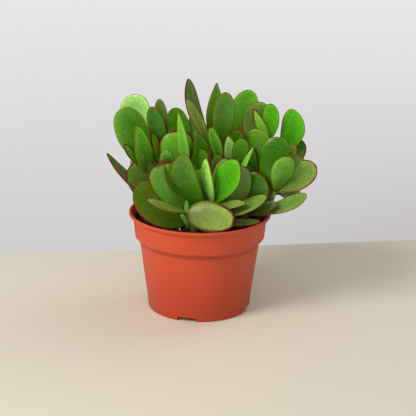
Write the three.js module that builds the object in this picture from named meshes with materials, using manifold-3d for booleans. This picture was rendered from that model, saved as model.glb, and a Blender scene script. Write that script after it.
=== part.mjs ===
// A potted jade plant: a tapered terracotta-coloured nursery pot with a collar and a
// rolled lip, filled with dark soil, from which sixteen fleshy-leaved shoots stand.
// Millimetres, +Z up, the pot's flat underside on z = 0 with the pot's axis as the Z axis.
import * as THREE from "three";
import { mergeVertices } from "three/addons/utils/BufferGeometryUtils.js";
import Module from "manifold-3d";

const wasm = await Module();
wasm.setup();

// Pot: heights above the underside and radii from the axis.
const POT_HEIGHT = 108;
const LIP_RADIUS = 77;
const LIP_DEPTH = 3;
const COLLAR_DEPTH = 27.3; // lip and collar together
const COLLAR_TOP_RADIUS = 72.6;
const COLLAR_FOOT_RADIUS = 70.4;
const BODY_TOP_RADIUS = 66;
const FOOT_RADIUS = 55.6;
const FOOT_ROUNDING = 1.5;
const WALL = 2;
const FLOOR_THICKNESS = 7; // deep enough for the drainage channels under it
const POT_SIDES = 48;

// Drainage: four channels run out under the floor, each with a hole up to the soil.
const CHANNEL_COUNT = 4;
const CHANNEL_WIDTH = 20;
const CHANNEL_HEIGHT = 4.5;
const CHANNEL_INNER_END = 30;
const CHANNEL_BEARING = -103; // degrees from +X: the front one lies a little left of -Y
const DRAIN_RADIUS = 6;
const DRAIN_PLACE = 42;
const DRAIN_SIDES = 16;

// Soil
const SOIL_LEVEL = 98;
const FIT_GAP = 0.35;
const HOLE_RADIUS = 5;
const HOLE_SIDES = 8;

// Shoots
const STEM_RADIUS = 4.2; // at the soil, tapering to TWIG_RADIUS at the top node
const TWIG_RADIUS = 2.6;
const ROOT_DEPTH = 12;
const STEM_SIDES = 6;
const STEM_STEPS = 2; // straight pieces between two nodes

// Leaf blade
const BLADE_SIDES = 6;
const BLADE_STATIONS = [0, 0.2, 0.42, 0.64, 0.84, 0.96]; // shares of the length
const NECK = 0.2; // width at the root against the widest
const CUP = 0.12; // rise of the margins over the midrib against the half width
const UPPER_SHARE = 0.38; // the upper face is flatter than the lower one
const BLADE_THICKNESS = 1.2; // with THICKENING times the width added
const THICKENING = 0.085;
const ROOT_THINNING = 0.25; // share of the thickness missing at the root
const TIP_THINNING = 0.75; // share missing at the tip, from TIP_STARTS on
const TIP_STARTS = 0.75;

// Blade outlines: the share of the length where the blade is widest, then the power and the
// root that close it towards the tip. A higher root gives a more pointed tip.
const SHAPES = {
  spoon: [0.6, 2.3, 0.5],
  oval: [0.5, 2.3, 0.5],
  disc: [0.46, 2.2, 0.5],
  paddle: [0.7, 2.3, 0.5],
  beak: [0.58, 2.2, 0.62],
  lance: [0.5, 1.9, 0.7],
  drop: [0.38, 1.7, 0.62],
  flame: [0.5, 1.3, 0.85],
  dart: [0.42, 1.6, 0.85],
};

const COLOURS = { pot: 0xd95f3b, soil: 0x2a201b, leaf: 0x4f8f2a };

// Each shoot: the nodes of its stem from the soil up, then its leaves as
// [node, tip, width, way the upper face looks, bow, outline, sweep]. The bow bends the blade
// towards its upper face and the sweep bends it sideways, as shares of its length.
const UP_AND_IN = null; // the upper face looks up and back towards the stem
const SHOOTS = {
  left: {
    stem: [[-34, 8, 98], [-46, 8, 115], [-53, 8, 134], [-56, 8, 151], [-61, 8, 161]],
    leaves: [
      [3, [-83, -22, 226], 35, [-1, 4, 0], -0.01],
      [3, [-67, -36, 211], 23, [2, -4, 2], 0.02, "drop"],
      [4, [-74, 26, 230], 34, [-1, -4, 3], -0.05, "paddle"],
      [3, [-81, -26, 188], 12, [4, -3, 2], 0.05, "oval"],
      [1, [-100, -14, 175], 23, [4, -1, 3], 0.06, "drop"],
      [1, [-73, -4, 162], 38, [3, -4, 0], 0.02],
      [2, [-70, 33, 160], 28, UP_AND_IN, 0.04],
      [1, [-78, 32, 138], 32, UP_AND_IN, 0.04],
    ],
  },
  left_inner: {
    stem: [[-22, 16, 98], [-35, 14, 124], [-38, 12, 144], [-37, 10, 161]],
    leaves: [
      [3, [-54, 8, 221], 18, [1, -4, 0], 0.03],
      [3, [-46, 27, 225], 19, [3, -4, 1], 0.03],
      [2, [-52, 2, 194], 11, [2, -4, 1], 0.04],
      [2, [-45, 41, 181], 28, UP_AND_IN, 0.03],
      [1, [-22, 54, 158], 28, UP_AND_IN, 0.03],
      [2, [-38, -28, 184], 18, [1, -4, 1], -0.06, "oval"],
    ],
  },
  middle_left: {
    stem: [[-12, 2, 98], [-18, 4, 123], [-17, 2, 139], [-17, 0, 152], [-18, 0, 162]],
    leaves: [
      [3, [-29, 7, 196], 40, [0, 4, -1], 0.05, "spoon", 0.04],
      [3, [-24, -32, 226], 20, [-4, -3, -2], 0.04, "dart"],
      [4, [-29, 30, 215], 26, [1, -4, 2], 0.03],
      [3, [-32, 38, 178], 24, UP_AND_IN, 0.03],
    ],
  },
  centre: {
    stem: [[2, 2, 98], [4, 0, 129], [8, 2, 151], [10, 4, 169], [10, 6, 179]],
    leaves: [
      [4, [-15, 22, 249], 23, [4, -3, 2], 0.085, "beak"],
      [3, [-15, -4, 233], 20, [-4, -4, -2], 0.05, "beak"],
      [2, [-10, 36, 207], 18, [1, -4, 3], 0.02],
      [2, [-5, -22, 201], 22, [2, -4, 0], 0.04, "dart"],
      [1, [-2, -12, 181], 23, [0, -4, 1], 0.03],
    ],
  },
  centre_right: {
    stem: [[16, 10, 98], [17, 8, 122], [20, 6, 146], [21, 6, 159], [21, 8, 172]],
    leaves: [
      [4, [16, 24, 245], 27, [3, -4, 1], 0.04, "flame", -0.03],
      [3, [25, -4, 241], 24, [1, -4, -1], 0.02, "paddle"],
      [3, [54, 36, 234], 33, [1, -4, 1], 0.03],
      [3, [12, -22, 208], 15, [4, 3, 2], -0.03, "lance"],
      [1, [18, -16, 176], 16, [0, -4, 1], -0.05],
      [3, [9, -12, 204], 10, [1, -4, 1], 0.03],
    ],
  },
  middle_right: {
    stem: [[36, 2, 98], [50, 4, 127], [60, 4, 149], [67, 6, 173], [71, 6, 186]],
    leaves: [
      [3, [60, 22, 225], 35, [1, -4, 1], 0.06, "spoon", -0.03],
      [4, [55, 4, 222], 12, [1, -4, 0], 0.03, "drop"],
      [4, [74, 14, 225], 20, [1, -4, 1], 0.03, "oval", 0.03],
      [2, [61, -2, 201], 32, [1, 4, 0], 0.05],
      [2, [53, -8, 185], 9, [1, 4, 2], 0.05],
    ],
  },
  right: {
    stem: [[50, 14, 98], [76, 14, 124], [87, 14, 151], [90, 14, 172]],
    leaves: [
      [3, [98, 24, 217], 26, [0, -4, 1], 0.03, "oval", 0.1],
      [2, [110, 30, 181], 26, [-1, -4, 1], 0.03, "oval"],
      [2, [99, 2, 184], 16, [1, -4, 1], 0.03],
      [2, [112, 48, 150], 30, UP_AND_IN, 0.03],
      [1, [110, 38, 128], 32, UP_AND_IN, 0.03],
    ],
  },
  right_low: {
    stem: [[61, -7, 98], [65, -11, 109], [73, -18, 121], [80, -26, 140]],
    leaves: [
      [3, [80, -18, 197], 37, [1, 4, -1], 0.04, "oval"],
      [3, [121, -38, 172], 29, [-1, -4, 2], 0.04],
      [3, [105, -30, 180], 27, [1, -4, 1], 0.03],
      [3, [90, -44, 183], 25, [-1, 4, 1], 0.03],
      [3, [107, -14, 137], 24, [-1, -3, 2], 0.05],
    ],
  },
  front: {
    stem: [[13, -22, 98], [13, -24, 104], [11, -28, 111], [13, -32, 126], [15, -32, 135]],
    leaves: [
      [3, [6, -42, 179], 21, [4, 3, 1], 0.03, "lance", 0.05],
      [3, [38, -52, 180], 29, [-2, -4, 1], 0.04, "beak"],
      [4, [28, -28, 176], 24, [2, -4, 0], 0.03],
      [2, [47, -32, 168], 38, [-1, 4, 0], 0.03, "oval", -0.05],
      [3, [48, -52, 134], 13, [0, -2, 3], 0.05, "lance"],
      [2, [70, -48, 139], 22, [0, -2, 4], 0.05],
      [2, [-2, -24, 162], 28, [2, -4, 1], 0.03],
      [1, [65, -34, 108], 12, [-1, -3, 4], 0.06],
      [4, [8, -36, 193], 12, [4, 0, 0], 0.02, "dart"],
      [2, [-19, -51, 185], 29, [-1, -4, 1], -0.01, "spoon", -0.12],
      [2, [-26, -44, 178], 27, [-1, -4, 1], 0, "spoon", -0.14],
    ],
  },
  front_left: {
    stem: [[-5, -42, 98], [-6, -43, 102], [-9, -44, 114], [-13, -46, 121], [-14, -46, 134]],
    leaves: [
      [3, [37, -62, 116], 33, [1, 4, -2], 0.04, "disc"],
      [3, [-53, -74, 142], 20, [0, -1, 4], 0.03],
      [4, [-37, -58, 176], 10, [4, -2, 1], 0.14, "lance"],
    ],
  },
  left_low: {
    stem: [[-12, -28, 98], [-13, -29, 103], [-20, -26, 113]],
    leaves: [
      [2, [-43, -28, 169], 43, [1, 4, 0], -0.03],
      [1, [-69, -15, 140], 45, [2, -4, 2], 0.02, "oval", -0.05],
    ],
  },
  front_right: {
    stem: [[46, -12, 98], [48, -16, 106], [51, -24, 112]],
    leaves: [
      [2, [112, -47, 141], 20, [0, -2, 3], 0.06, "paddle"],
      [1, [62, -26, 159], 36, [2, 4, 0], 0.03],
      [2, [82, -38, 129], 13, [-1, -3, 3], -0.05],
    ],
  },
  heart: {
    stem: [[28, 16, 98], [35, 10, 122], [35, 4, 144], [35, 0, 157]],
    leaves: [
      [3, [29, -22, 198], 16, [-1, -4, 1], 0.03, "drop"],
      [3, [38, -4, 202], 18, [1, -4, 0], 0.03],
      [2, [43, -24, 196], 18, [1, -4, 1], 0.03, "paddle", 0.03],
      [1, [56, -30, 189], 12, [4, 1, 0], 0.03, "lance"],
      [3, [42, -6, 209], 10, [4, -1, 0], -0.1, "dart"],
    ],
  },
  back_left: {
    stem: [[-30, 30, 98], [-38, 42, 122], [-42, 48, 142], [-44, 52, 156], [-46, 53, 168]],
    leaves: [
      [1, [-88, 56, 134], 34, UP_AND_IN, 0.04],
      [1, [-30, 92, 132], 32, UP_AND_IN, 0.04],
      [2, [-84, 80, 164], 34, UP_AND_IN, 0.04],
      [2, [-30, 102, 168], 32, UP_AND_IN, 0.04],
      [3, [-66, 70, 196], 30, UP_AND_IN, 0.03],
      [3, [-22, 72, 190], 28, UP_AND_IN, 0.03],
      [4, [-60, 54, 200], 20, [4, 1, 1], 0.04, "lance"],
      [4, [-40, 62, 192], 18, [-4, -1, 1], 0.04],
    ],
  },
  back: {
    stem: [[14, 40, 98], [18, 52, 124], [20, 58, 146], [21, 61, 160], [22, 62, 172]],
    leaves: [
      [1, [-14, 88, 140], 32, UP_AND_IN, 0.04],
      [1, [52, 92, 138], 32, UP_AND_IN, 0.04],
      [2, [-2, 104, 176], 32, UP_AND_IN, 0.04],
      [2, [48, 100, 172], 32, UP_AND_IN, 0.04],
      [3, [0, 76, 184], 28, UP_AND_IN, 0.03],
      [3, [42, 70, 192], 28, UP_AND_IN, 0.03],
      [4, [19, 46, 196], 20, [0, 4, 1], 0.04, "lance"],
      [4, [25, 72, 207], 18, [0, -4, 1], 0.04],
    ],
  },
  back_right: {
    stem: [[50, 34, 98], [62, 44, 122], [68, 50, 142], [70, 53, 154], [71, 54, 165]],
    leaves: [
      [1, [102, 70, 128], 32, UP_AND_IN, 0.04],
      [1, [60, 94, 130], 30, UP_AND_IN, 0.04],
      [2, [74, 98, 160], 32, UP_AND_IN, 0.04],
      [2, [108, 68, 163], 30, UP_AND_IN, 0.04],
      [3, [62, 72, 186], 26, UP_AND_IN, 0.03],
      [3, [94, 62, 166], 26, UP_AND_IN, 0.03],
      [4, [64, 46, 198], 19, [1, 4, 1], 0.04, "lance"],
      [4, [74, 64, 192], 17, [-1, -4, 1], 0.04],
    ],
  },
};

// ---- solids ----

const vector = (p) => new THREE.Vector3(...p);

// A closed solid from rings of points with one point closing each end.
function skin(rings, start, end) {
  const sides = rings[0].length;
  const points = [...rings.flat(), start, end];
  const faces = [];
  const startIndex = points.length - 2;
  const endIndex = points.length - 1;
  for (let k = 0; k < sides; k++) {
    const next = (k + 1) % sides;
    for (let i = 0; i + 1 < rings.length; i++) {
      const a = i * sides + k;
      const b = i * sides + next;
      faces.push(a, b, b + sides, a, b + sides, a + sides);
    }
    const last = (rings.length - 1) * sides;
    faces.push(startIndex, next, k, endIndex, last + k, last + next);
  }
  const made = (triVerts) =>
    new wasm.Manifold(
      new wasm.Mesh({
        numProp: 3,
        vertProperties: new Float32Array(points.flatMap((p) => p.toArray())),
        triVerts: new Uint32Array(triVerts),
      }),
    );
  const solid = made(faces);
  return solid.volume() > 0 ? solid : made(faces.reverse());
}

// Half the blade's width at a share t of its length, against the widest.
function blade(t, outline) {
  const [widest, power, root] = SHAPES[outline];
  const rise = Math.max(0.3, 5 * widest - 1.75);
  if (t <= widest)
    return NECK + (1 - NECK) * Math.sin(((Math.PI / 2) * t) / widest) ** rise;
  return Math.max(0, 1 - ((t - widest) / (1 - widest)) ** power) ** root;
}

function leaf(root, tip, width, looks, bow, outline = "spoon", sweep = 0) {
  const length = root.distanceTo(tip);
  const chord = tip.clone().sub(root).normalize();
  const inward = new THREE.Vector3(-chord.x, -chord.y, Math.hypot(chord.x, chord.y));
  const up = looks === UP_AND_IN ? inward : vector(looks);
  up.addScaledVector(chord, -up.dot(chord)).normalize();
  const across = chord.clone().cross(up);
  const middle = root
    .clone()
    .add(tip)
    .multiplyScalar(0.5)
    .addScaledVector(up, -2 * bow * length)
    .addScaledVector(across, 2 * sweep * length);
  const midrib = new THREE.QuadraticBezierCurve3(root, middle, tip);
  const thickest = BLADE_THICKNESS + THICKENING * width;
  const rings = BLADE_STATIONS.map((t) => {
    const centre = midrib.getPoint(t);
    const along = midrib.getTangent(t);
    const normal = up.clone().addScaledVector(along, -up.dot(along)).normalize();
    const half = (width / 2) * blade(t, outline);
    const atRoot = 1 - ROOT_THINNING * (1 - Math.min(1, t / 0.3));
    const atTip = 1 - TIP_THINNING * Math.max(0, (t - TIP_STARTS) / (1 - TIP_STARTS)) ** 2;
    const thickness = thickest * atRoot * atTip;
    return Array.from({ length: BLADE_SIDES }, (_, k) => {
      const angle = (2 * Math.PI * k) / BLADE_SIDES;
      const [c, s] = [Math.cos(angle), Math.sin(angle)];
      const share = s > 0 ? UPPER_SHARE : UPPER_SHARE - 1;
      const height = CUP * half * c * c + share * thickness * Math.abs(s) ** 0.8;
      return centre.clone().addScaledVector(across, half * c).addScaledVector(normal, height);
    });
  });
  return skin(rings, root, tip);
}

// A round stem along a smooth curve through its nodes, straight down in the soil.
function stem(nodes) {
  const root = nodes[0].clone().setZ(SOIL_LEVEL - ROOT_DEPTH);
  const curve = new THREE.CatmullRomCurve3([...nodes], false, "catmullrom", 0.5);
  const steps = (nodes.length - 1) * STEM_STEPS;
  const points = [root, ...curve.getPoints(steps)];
  const rings = points.map((point, i) => {
    const along = points[Math.min(i + 1, steps + 1)].clone().sub(points[Math.max(i - 1, 0)]);
    if (i < 2) along.set(0, 0, 1); // upright where it meets the soil
    const side = along.normalize().clone().cross(new THREE.Vector3(0.3, 1, 0.1)).normalize();
    const other = side.clone().cross(along);
    const share = Math.max(0, i - 1) / steps;
    const radius = STEM_RADIUS + (TWIG_RADIUS - STEM_RADIUS) * share;
    return Array.from({ length: STEM_SIDES }, (_, k) => {
      const angle = (2 * Math.PI * k) / STEM_SIDES;
      return point
        .clone()
        .addScaledVector(side, radius * Math.cos(angle))
        .addScaledVector(other, radius * Math.sin(angle));
    });
  });
  return skin(rings, points[0], points[steps + 1]);
}

// One stem joined with its leaves; a pocket closed in between leaf roots is filled.
function shoot({ stem: nodes, leaves }) {
  const places = nodes.map(vector);
  const whole = leaves.reduce(
    (joined, [node, tip, ...shape]) => joined.add(leaf(places[node], vector(tip), ...shape)),
    stem(places),
  );
  const outer = whole.decompose().filter((body) => body.volume() > 0);
  if (outer.length !== 1) throw new Error("a leaf stands clear of its stem");
  return outer[0];
}

// A solid from a three.js geometry, its shared vertices merged and its axis turned to +Z.
function solidOf(geometry) {
  geometry.deleteAttribute("normal");
  geometry.deleteAttribute("uv");
  const merged = mergeVertices(geometry, 1e-4);
  return new wasm.Manifold(
    new wasm.Mesh({
      numProp: 3,
      vertProperties: new Float32Array(merged.attributes.position.array),
      triVerts: new Uint32Array(merged.index.array),
    }),
  );
}

function lathe(profile) {
  const points = profile.map(([radius, height]) => new THREE.Vector2(radius, height));
  return solidOf(new THREE.LatheGeometry(points, POT_SIDES).rotateX(Math.PI / 2));
}

function upright(radius, height, sides) {
  return new THREE.CylinderGeometry(radius, radius, height, sides).rotateX(Math.PI / 2);
}

function pot() {
  const collarFoot = POT_HEIGHT - COLLAR_DEPTH;
  const lipFoot = POT_HEIGHT - LIP_DEPTH;
  const shell = lathe([
    [0, 0],
    [FOOT_RADIUS - FOOT_ROUNDING, 0],
    [FOOT_RADIUS - 0.3 * FOOT_ROUNDING, 0.3 * FOOT_ROUNDING],
    [FOOT_RADIUS, FOOT_ROUNDING],
    [BODY_TOP_RADIUS, collarFoot],
    [COLLAR_FOOT_RADIUS - 0.6, collarFoot],
    [COLLAR_FOOT_RADIUS, collarFoot + 0.6],
    [COLLAR_TOP_RADIUS, lipFoot - 1],
    [LIP_RADIUS - 1.2, lipFoot - 0.4],
    [LIP_RADIUS, lipFoot + 0.8],
    [LIP_RADIUS, POT_HEIGHT - 1],
    [LIP_RADIUS - 1, POT_HEIGHT],
    [LIP_RADIUS - WALL, POT_HEIGHT],
    [LIP_RADIUS - WALL - 0.8, POT_HEIGHT - 0.8],
    ...inside(0),
    [0, FLOOR_THICKNESS],
  ]);
  let made = shell;
  for (let i = 0; i < CHANNEL_COUNT; i++) {
    const bearing = THREE.MathUtils.degToRad(CHANNEL_BEARING + (360 * i) / CHANNEL_COUNT);
    const reach = FOOT_RADIUS + 5 - CHANNEL_INNER_END;
    const channel = new THREE.BoxGeometry(reach, CHANNEL_WIDTH, 2 * CHANNEL_HEIGHT)
      .translate(CHANNEL_INNER_END + reach / 2, 0, 0)
      .rotateZ(bearing);
    const drain = upright(DRAIN_RADIUS, 2 * FLOOR_THICKNESS + 2, DRAIN_SIDES)
      .translate(DRAIN_PLACE, 0, 0)
      .rotateZ(bearing);
    made = made.subtract(solidOf(channel)).subtract(solidOf(drain));
  }
  return made;
}

// The pot's inner wall from the lip down to the floor, drawn in by a gap for the soil.
function inside(gap) {
  const collarFoot = POT_HEIGHT - COLLAR_DEPTH;
  return [
    [COLLAR_TOP_RADIUS - WALL - gap, POT_HEIGHT - LIP_DEPTH - 2],
    [COLLAR_FOOT_RADIUS - WALL - gap, collarFoot + WALL + gap],
    [BODY_TOP_RADIUS - WALL - gap, collarFoot + gap],
    [FOOT_RADIUS - WALL + 0.6 - gap, FLOOR_THICKNESS + gap],
  ];
}

function soil() {
  const wall = inside(FIT_GAP);
  const [top, collar] = wall;
  const share = (SOIL_LEVEL - collar[1]) / (top[1] - collar[1]);
  const edge = [collar[0] + share * (top[0] - collar[0]), SOIL_LEVEL];
  let made = lathe([[0, wall[3][1]], ...wall.slice(1).reverse(), edge, [0, SOIL_LEVEL]]);
  for (const { stem: nodes } of Object.values(SHOOTS)) {
    const [x, y] = nodes[0];
    const hole = upright(HOLE_RADIUS, 2 * (ROOT_DEPTH + FIT_GAP), HOLE_SIDES);
    made = made.subtract(solidOf(hole.translate(x, y, SOIL_LEVEL)));
  }
  return made;
}

// ---- the object ----

const group = new THREE.Group();

function add(name, solid, color, roughness) {
  const { vertProperties, triVerts, numProp } = solid.getMesh();
  const positions = new Float32Array((vertProperties.length / numProp) * 3);
  for (let i = 0; i < positions.length / 3; i++)
    positions.set(vertProperties.subarray(i * numProp, i * numProp + 3), i * 3);
  const geometry = new THREE.BufferGeometry();
  geometry.setAttribute("position", new THREE.BufferAttribute(positions, 3));
  geometry.setIndex(new THREE.BufferAttribute(triVerts, 1));
  geometry.computeVertexNormals();
  const mesh = new THREE.Mesh(
    geometry,
    new THREE.MeshStandardMaterial({ color, roughness, name }),
  );
  mesh.name = name;
  group.add(mesh);
}

add("pot", pot(), COLOURS.pot, 0.5);
add("soil", soil(), COLOURS.soil, 1);
for (const [name, parts] of Object.entries(SHOOTS))
  add("shoot_" + name, shoot(parts), COLOURS.leaf, 0.35);

export default group;
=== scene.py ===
import math
import random

import bmesh
import bpy
import numpy as np
from mathutils import Matrix, Quaternion, Vector


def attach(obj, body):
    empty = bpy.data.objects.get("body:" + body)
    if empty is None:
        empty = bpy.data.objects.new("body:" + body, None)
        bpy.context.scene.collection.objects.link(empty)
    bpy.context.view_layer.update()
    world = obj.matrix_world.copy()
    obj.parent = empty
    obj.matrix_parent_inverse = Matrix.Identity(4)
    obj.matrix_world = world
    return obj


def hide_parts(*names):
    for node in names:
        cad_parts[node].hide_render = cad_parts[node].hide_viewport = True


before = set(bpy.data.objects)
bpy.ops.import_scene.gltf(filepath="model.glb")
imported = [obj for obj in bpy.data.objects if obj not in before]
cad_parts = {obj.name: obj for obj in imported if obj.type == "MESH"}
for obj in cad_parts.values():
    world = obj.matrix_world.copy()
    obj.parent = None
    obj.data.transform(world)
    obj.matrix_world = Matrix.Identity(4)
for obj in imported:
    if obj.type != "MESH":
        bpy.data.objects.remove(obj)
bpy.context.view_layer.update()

MM = 0.001
SEED = 7
FULL_TURN = 6.3  # radians, a little over a turn
UP_AND_IN = None  # the upper face looks up and back towards the stem

# ---- sizes, in millimetres. What the CAD model has too is the same there. ----

POT_HEIGHT = 108
LIP_RADIUS = 77
LIP_DEPTH = 3
COLLAR_DEPTH = 27.3  # lip and collar together
COLLAR_TOP_RADIUS = 72.6
COLLAR_FOOT_RADIUS = 70.4
BODY_TOP_RADIUS = 66
FOOT_RADIUS = 55.6
FOOT_ROUNDING = 1.5
FOOT_BAND, FOOT_BAND_STEP = 7, 0.25  # the foot stands proud by the step up to this height
ARC_LIMIT = 2.2  # a rounding takes at most the length of a side divided by this
ARC_STEPS = 4
WALL = 2
FLOOR_THICKNESS = 7
POT_SIDES = 160
CHANNEL_COUNT = 4
CHANNEL_WIDTH = 20
CHANNEL_HEIGHT = 4.5
CHANNEL_INNER_END = 30
CHANNEL_OVERRUN = 5  # how far the cutter of a channel reaches past the foot
CHANNEL_BEARING = -103  # degrees: the front one lies a little left of the middle
DRAIN_RADIUS = 6
DRAIN_PLACE = 42
DRAIN_SIDES = 40
DRAIN_OVERRUN = 1  # how far the cutter of a drain reaches past the floor
SHARP_ANGLE = 35  # degrees: the pot's steeper edges stay crisp

SOIL_LEVEL = 98
SOIL_RADIUS = 69.2
LUMP_CLEARANCE = 0.6  # between a lump and a stem
LUMP_BUMP, LUMP_BUMP_RATE = 0.16, 4.3  # bumps as a share of the size, and how close they are
LUMP_SHARES = (0.6, 1.0)  # a lump's size is multiplied by a share out of this range
LUMP_STRETCH = (0.7, 1.2)
# Lumps on the soil: how many, the smallest and largest size, and how far their middles stand
# above the soil, as a share of the size.
CRUMBS = (900, (0.8, 2.6), 0.15)
GRAINS = (46, (0.7, 1.6), 0.5)

STEM_RADIUS = 4.2  # at the soil, tapering to TWIG_RADIUS at the top node
TWIG_RADIUS = 2.6
STEM_SIDES = 20
STEM_STEPS = 9
STEM_SUNK = 4  # how far a stem goes on below its first node
# Three low ridges run along a stem: a share of its radius, and the millimetres in which they
# turn about it by a third of a radian.
STEM_UNEVEN, STEM_UNEVEN_RUN = 0.03, 9
OFF_EVERY_STEM = (0.3, 1, 0.1)  # a direction that no stem follows
SCAR_SWELL, SCAR_REACH = 0.45, 1.4  # a leaf scar's height, and its reach along the stem
BUD_STARTS, BUD_TAPER = 0.8, 0.85  # where a stem narrows to its end, and by how much

BLADE_SIDES = 32
BLADE_STATIONS = 26
STATION_CROWDING = 1.5  # above 1, the stations lie closer towards the tip
LAST_STATION = 0.992  # as a share of the length
BLADE_THICKNESS, THICKENING = 1.2, 0.085  # THICKENING times the width is added
ROOT_THINNING, ROOT_ENDS = 0.25, 0.3  # share missing at the root, and where that ends
TIP_THINNING, TIP_STARTS = 0.75, 0.75  # share missing at the tip, and where that starts
UPPER_SHARE = 0.38  # share of the thickness above the margins: the upper face is flatter
BLUNTNESS = 0.6  # below 1, the blade's edge is blunt
NECK = 0.2  # width at the root, against the widest
CUP = 0.12  # how far the sides rise, against half the width
TWIST = 3  # degrees at most, at the tip
LOBE, LOBE_RATE = 0.018, 9  # waves in the outline, as a share of half the width
SWELL, SWELL_RATE, SWELL_ACROSS = 0.22, 7, 2.4  # slow swellings of the surface
WAVE, WAVE_RATE = 0.012, 8  # waves of the sides, as a share of half the width
WAVES_START = 4  # swellings and waves are full from 1 / WAVES_START of the length on
GROOVE, GROOVE_WIDTH = 0.45, 0.12  # its depth along the middle of the upper face, and its width
EDGE_AT_ROOT = 2.0  # the distance to the margin that the root's end point is given
PATTERN_UNIT = 10  # millimetres to one unit of the patterns on leaves and stems
PATTERN_SHIFTS = (0, 50)  # so that no two leaves or stems show the same pattern

# Blade outlines: the share of the length where the blade is widest, then the power and the
# root that close it towards the tip. A higher root gives a more pointed tip.
SHAPES = {
    "spoon": (0.6, 2.3, 0.5),
    "oval": (0.5, 2.3, 0.5),
    "disc": (0.46, 2.2, 0.5),
    "paddle": (0.7, 2.3, 0.5),
    "beak": (0.58, 2.2, 0.62),
    "lance": (0.5, 1.9, 0.7),
    "drop": (0.38, 1.7, 0.62),
    "flame": (0.5, 1.3, 0.85),
    "dart": (0.42, 1.6, 0.85),
}

# ---- colours, as sRGB out of 255 ----

# Leaf tones: the upper face, then the under face.
TONES = {
    "vivid": ((82, 176, 10), (86, 170, 14)),
    "gloss": ((104, 176, 44), (104, 170, 40)),
    "lime": ((130, 212, 82), (126, 210, 80)),
    # Milky is a pale green that, on the third leaf of the left shoot, also stands in for a painted
    # sheen.
    "milky": ((146, 204, 112), (138, 196, 102)),
    "glow": ((150, 222, 100), (146, 218, 96)),
    "mid": ((88, 156, 24), (88, 154, 26)),
    "soft": ((78, 136, 24), (78, 132, 26)),
    "deep": ((62, 124, 14), (62, 120, 14)),
    "olive": ((82, 112, 18), (80, 108, 18)),
    "dull": ((112, 150, 64), (108, 146, 62)),
    "grey": ((112, 146, 72), (110, 142, 68)),
    "bright": ((120, 196, 62), (118, 192, 60)),
    "back": ((146, 174, 84), (140, 168, 80)),
}
# Margins: colour, strength, width in millimetres.
MARGINS = {
    "brown": ((116, 48, 20), 0.8, 1.0),
    "red": ((124, 22, 24), 1.0, 1.7),
    "broad": ((104, 14, 16), 1.0, 3.0),
}
MARGIN_AT_ROOT = 0.3  # a margin's strength at the root, against its full strength
# Partly painted shade and partly the blade's own darker green: a blade is darker at its root.
ROOT_SHADE, ROOT_SHADE_ENDS, ROOT_SHADE_POWER = 0.62, 0.7, 1.3  # a blade is darker at its root
LEAF_SHADES, LEAF_WARMTHS = (0.92, 1.08), (0.94, 1.06)  # how much leaves of a tone differ
FACE_BLEND = 3  # how quickly the upper tone gives way to the under one at the margin
MOTTLING = 0.65  # how strongly lighter and darker patches cover a leaf's tone
MARGIN_UNEVEN = 1.2  # millimetres by which mottling moves the margin in and out
# Painted shade: a blade grows darker from near its margin towards its middle.
MIDDLE_PAINTED_SHADE_REACH = (4.0, 13.0)  # millimetres from the margin over which a blade grows darker
BAND_REACH = (4.2, 1.2)  # millimetres from the margin over which the pale band comes up
# Tints that multiply a leaf's tone.
LIGHT_TINT, DARK_TINT, BAND_TINT = (1.57, 1.38, 1.25), (0.55, 0.66, 0.45), (2.0, 1.5, 1.0)

STEM_YOUNG, STEM_OLD = (112, 162, 40), (74, 84, 30)
STEM_STREAK, STEM_SCAR = (70, 84, 28), (104, 86, 44)
POT_DARKER, POT_LIGHTER = (204, 72, 38), (212, 80, 44)
# The last two colours on the next line are painted shade, towards the foot and under the collar.
POT_SCUFF, POT_SHADED_FOOT, POT_PAINTED_SHADE = (222, 118, 82), (150, 44, 22), (120, 34, 16)
# Painted shade: the pot grows darker towards its foot.
FOOT_SHADE, FOOT_SHADE_TOP = 0.5, 85  # the pot is redder towards its foot, from this height
# The painted shade under the collar: the height up to which it darkens, its depth, its strength.
DUSK_TOP, DUSK_DEPTH, DUSK = 77.7, 6, 0.5
SOIL_DARK, SOIL_LIGHT, SOIL_PATCH = (24, 17, 13), (74, 55, 42), (44, 33, 25)
GRAIN_PIT, GRAIN_FACE = (196, 176, 160), (236, 222, 208)
TABLE_DARKER, TABLE_LIGHTER = (223, 215, 196), (227, 219, 200)
# The corner colour of the wall is a painted shadow low on its right.
WALL_LOW, WALL_HIGH, WALL_PAINTED_SHADOW = (207, 205, 206), (233, 232, 233), (195, 190, 191)

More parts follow.
